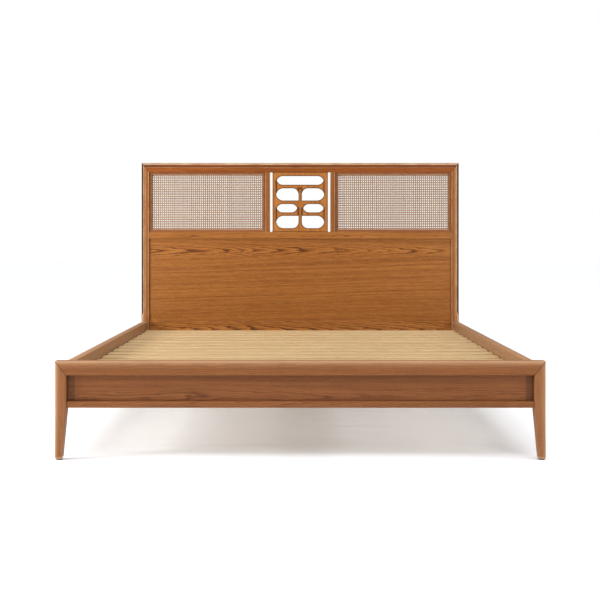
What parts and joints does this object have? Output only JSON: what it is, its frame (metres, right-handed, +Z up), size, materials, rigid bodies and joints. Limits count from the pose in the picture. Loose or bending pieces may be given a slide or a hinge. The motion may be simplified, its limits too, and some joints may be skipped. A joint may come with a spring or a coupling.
{
  "type": "bed frame",
  "caption": "Low oak double bed frame: mitred headboard with woven cane fields and a pierced centre panel, framed footboard on tapered legs, slatted base.",
  "frame": {"origin": "on the floor under the middle of the bed's outer box", "axes": "+Y from the foot to the head, +X to the right seen from the foot, +Z up"},
  "size_m": [1.6, 2.095, 1.106],
  "materials": {
    "oak": "satin stained oak",
    "pale_wood": "planed, unstained",
    "cane": "woven cane, satin",
    "steel": "zinc plated",
    "brass": "plain",
    "black_plastic": "matte"
  },
  "bodies": {
    "frame": {"head_post_left": "oak", "head_post_right": "oak", "head_top_rail": "oak", "head_mid_rail": "oak", "head_bottom_rail": "oak", "head_board": "oak", "inner_stile_left": "oak", "inner_stile_right": "oak", "fretwork_panel": "oak", "cane_sheet_left": "cane", "cane_sheet_right": "cane", "cane_bead_left": "oak", "cane_bead_right": "oak", "cane_backing_left": "oak", "cane_backing_right": "oak", "foot_leg_left": "oak", "foot_leg_right": "oak", "foot_top_rail": "oak", "foot_bottom_rail": "oak", "foot_panel": "oak", "foot_cleat": "pale_wood", "side_rail_left": "oak", "side_rail_right": "oak", "ledger_left": "pale_wood", "ledger_right": "pale_wood", "slat_1": "pale_wood", "slat_2": "pale_wood", "slat_3": "pale_wood", "slat_4": "pale_wood", "slat_5": "pale_wood", "slat_6": "pale_wood", "slat_7": "pale_wood", "slat_8": "pale_wood", "slat_9": "pale_wood", "slat_10": "pale_wood", "slat_11": "pale_wood", "slat_12": "pale_wood", "slat_13": "pale_wood", "slat_14": "pale_wood", "centre_beam": "pale_wood", "beam_hanger_foot": "steel", "beam_hanger_head": "steel", "centre_leg": "oak", "leg_plate": "steel", "leg_bolt": "steel", "leveller_insert": "brass", "mitre_splines": "pale_wood", "rail_dowels": "pale_wood", "rail_studs": "steel", "half_moon_washers": "steel", "rail_nuts": "steel", "foot_glides": "black_plastic", "slat_screws": "steel", "ledger_screws": "steel", "hanger_screws": "steel", "plate_screws": "steel", "cleat_screws": "steel"},
    "levelling_foot": {"leveller_pad": "black_plastic"},
    "levelling_stem": {"leveller_screw": "steel"}
  },
  "joints": [
    {"name": "leveller_height", "type": "slide", "parent": "frame", "child": "levelling_foot", "axis": [0, 0, -1], "range_m": [-0.005, 0.01]},
    {"name": "leveller_turn", "type": "hinge", "parent": "levelling_foot", "child": "levelling_stem", "pos_m": [0, 0.2175, 0.03], "axis": [0, 0, -1], "range_deg": [-1440, 2880]}
  ],
  "couplings": [
    {"joint": "leveller_turn", "follows": "leveller_height", "rad_per_m": 5026.5}
  ]
}
